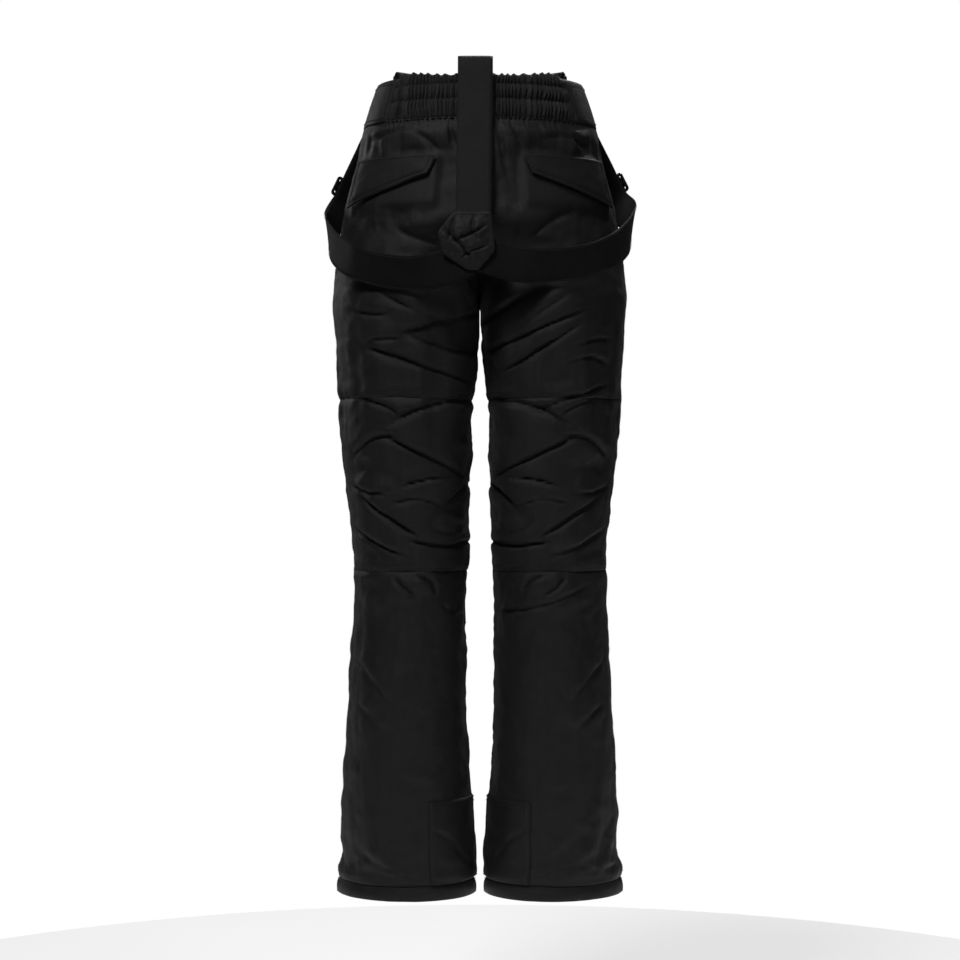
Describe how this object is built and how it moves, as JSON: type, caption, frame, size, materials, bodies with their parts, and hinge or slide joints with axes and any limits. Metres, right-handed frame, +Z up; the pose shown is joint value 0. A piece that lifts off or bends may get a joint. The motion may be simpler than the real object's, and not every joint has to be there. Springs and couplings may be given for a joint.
{
  "type": "ski trousers with braces",
  "caption": "Black padded ski trousers with a gathered elastic rear waistband, pocket flaps, boot-cut legs and let-down elastic braces slung round the hips.",
  "frame": {"origin": "centre of the waist opening, at the height of the rear waistband's top edge", "axes": "+Z up, -Y towards the wearer's front, +X towards the wearer's left"},
  "size_m": [0.4039, 0.2546, 1.0726],
  "materials": {
    "shell_cloth": "matt woven shell with a soft sheen, padded",
    "elastic_webbing": "ribbed elastic and webbing",
    "zip_tape": "knitted tape with a nylon coil",
    "gaiter_cloth": "thin coated lining cloth",
    "scuff_cloth": "coarse coated reinforcement",
    "metal_trim": "satin metal",
    "plastic_hook": "moulded, matt"
  },
  "bodies": {
    "garment": {"ankle_zip_left_tape": "zip_tape", "ankle_zip_right_tape": "zip_tape", "belt_loop_left": "elastic_webbing", "belt_loop_right": "elastic_webbing", "brace_back_web": "elastic_webbing", "brace_hook_left": "plastic_hook", "brace_hook_right": "plastic_hook", "brace_loop_left": "elastic_webbing", "brace_loop_right": "elastic_webbing", "brace_strap_left": "elastic_webbing", "brace_strap_right": "elastic_webbing", "brace_yoke": "elastic_webbing", "calf_back_left": "shell_cloth", "calf_back_right": "shell_cloth", "flap_patch_left": "zip_tape", "flap_patch_right": "zip_tape", "fly_zip_tape": "zip_tape", "gaiter_left": "gaiter_cloth", "gaiter_right": "gaiter_cloth", "hem_band_left": "shell_cloth", "hem_band_right": "shell_cloth", "hip_front_left": "shell_cloth", "hip_front_right": "shell_cloth", "knee_back_left": "shell_cloth", "knee_back_right": "shell_cloth", "knee_front_left": "shell_cloth", "knee_front_right": "shell_cloth", "pocket_welt_left": "shell_cloth", "pocket_welt_right": "shell_cloth", "pocket_zip_left_tape": "zip_tape", "pocket_zip_right_tape": "zip_tape", "scuff_guard_left": "scuff_cloth", "scuff_guard_right": "scuff_cloth", "seat_left": "shell_cloth", "seat_right": "shell_cloth", "shin_front_left": "shell_cloth", "shin_front_right": "shell_cloth", "snap_stud_1": "metal_trim", "snap_stud_2": "metal_trim", "waistband_back": "elastic_webbing", "waistband_front_left": "shell_cloth", "waistband_front_right": "shell_cloth"},
    "fly_zip_slider_body": {"fly_zip_slider": "metal_trim"},
    "fly_zip_pull_body": {"fly_zip_pull": "metal_trim"},
    "pocket_zip_left_slider_body": {"pocket_zip_left_slider": "metal_trim"},
    "pocket_zip_left_pull_body": {"pocket_zip_left_pull": "metal_trim"},
    "ankle_zip_left_slider_body": {"ankle_zip_left_slider": "metal_trim"},
    "ankle_zip_left_pull_body": {"ankle_zip_left_pull": "metal_trim"},
    "pocket_zip_right_slider_body": {"pocket_zip_right_slider": "metal_trim"},
    "pocket_zip_right_pull_body": {"pocket_zip_right_pull": "metal_trim"},
    "ankle_zip_right_slider_body": {"ankle_zip_right_slider": "metal_trim"},
    "ankle_zip_right_pull_body": {"ankle_zip_right_pull": "metal_trim"},
    "pocket_flap_left_body": {"pocket_flap_left": "shell_cloth"},
    "brace_adjuster_left_body": {"brace_adjuster_left": "metal_trim"},
    "pocket_flap_right_body": {"pocket_flap_right": "shell_cloth"},
    "brace_adjuster_right_body": {"brace_adjuster_right": "metal_trim"},
    "waist_tab_body": {"waist_tab": "shell_cloth", "snap_cap_1": "metal_trim", "snap_cap_2": "metal_trim"}
  },
  "joints": [
    {"name": "fly_zip_slide", "type": "slide", "parent": "garment", "child": "fly_zip_slider_body", "axis": [0, 0, 1], "range_m": [-0.105, 0]},
    {"name": "fly_zip_pull_hinge", "type": "hinge", "parent": "fly_zip_slider_body", "child": "fly_zip_pull_body", "pos_m": [0, -0.1056, -0.072], "axis": [-1, 0, 0], "range_deg": [0, 170]},
    {"name": "pocket_zip_left_slide", "type": "slide", "parent": "garment", "child": "pocket_zip_left_slider_body", "axis": [-0.459, -0.1906, 0.8678], "range_m": [-0.128, 0]},
    {"name": "pocket_zip_left_pull_hinge", "type": "hinge", "parent": "pocket_zip_left_slider_body", "child": "pocket_zip_left_pull_body", "pos_m": [0.10961, -0.08172, -0.07832], "axis": [-0.6788, -0.5549, -0.4809], "range_deg": [0, 170]},
    {"name": "ankle_zip_left_slide", "type": "slide", "parent": "garment", "child": "ankle_zip_left_slider_body", "axis": [-0.0421, 0.0278, 0.9987], "range_m": [0, 0.122]},
    {"name": "ankle_zip_left_pull_hinge", "type": "hinge", "parent": "ankle_zip_left_slider_body", "child": "ankle_zip_left_pull_body", "pos_m": [0.17394, -0.05369, -0.99971], "axis": [-0.554, -0.8325, -0.0002], "range_deg": [0, 170]},
    {"name": "pocket_zip_right_slide", "type": "slide", "parent": "garment", "child": "pocket_zip_right_slider_body", "axis": [0.459, -0.1906, 0.8678], "range_m": [-0.128, 0]},
    {"name": "pocket_zip_right_pull_hinge", "type": "hinge", "parent": "pocket_zip_right_slider_body", "child": "pocket_zip_right_pull_body", "pos_m": [-0.10961, -0.08172, -0.07832], "axis": [-0.6788, 0.5549, 0.4809], "range_deg": [0, 170]},
    {"name": "ankle_zip_right_slide", "type": "slide", "parent": "garment", "child": "ankle_zip_right_slider_body", "axis": [0.0421, 0.0278, 0.9987], "range_m": [0, 0.122]},
    {"name": "ankle_zip_right_pull_hinge", "type": "hinge", "parent": "ankle_zip_right_slider_body", "child": "ankle_zip_right_pull_body", "pos_m": [-0.17394, -0.05369, -0.99971], "axis": [-0.554, 0.8325, 0.0002], "range_deg": [0, 170]},
    {"name": "pocket_flap_left_hinge", "type": "hinge", "parent": "garment", "child": "pocket_flap_left_body", "pos_m": [0.12905, 0.07703, -0.10286], "axis": [0.7824, -0.6228, 0], "range_deg": [0, 90]},
    {"name": "brace_adjuster_left_slide", "type": "slide", "parent": "garment", "child": "brace_adjuster_left_body", "axis": [-0.3993, -0.2272, 0.8882], "range_m": [0, 0.055]},
    {"name": "pocket_flap_right_hinge", "type": "hinge", "parent": "garment", "child": "pocket_flap_right_body", "pos_m": [-0.12905, 0.07703, -0.10286], "axis": [0.7824, 0.6228, 0], "range_deg": [0, 90]},
    {"name": "brace_adjuster_right_slide", "type": "slide", "parent": "garment", "child": "brace_adjuster_right_body", "axis": [0.4105, -0.2477, 0.8776], "range_m": [0, 0.055]},
    {"name": "waist_tab_hinge", "type": "hinge", "parent": "garment", "child": "waist_tab_body", "pos_m": [0.036, -0.1029, -0.027], "axis": [0, 0, 1], "range_deg": [0, 120]}
  ]
}
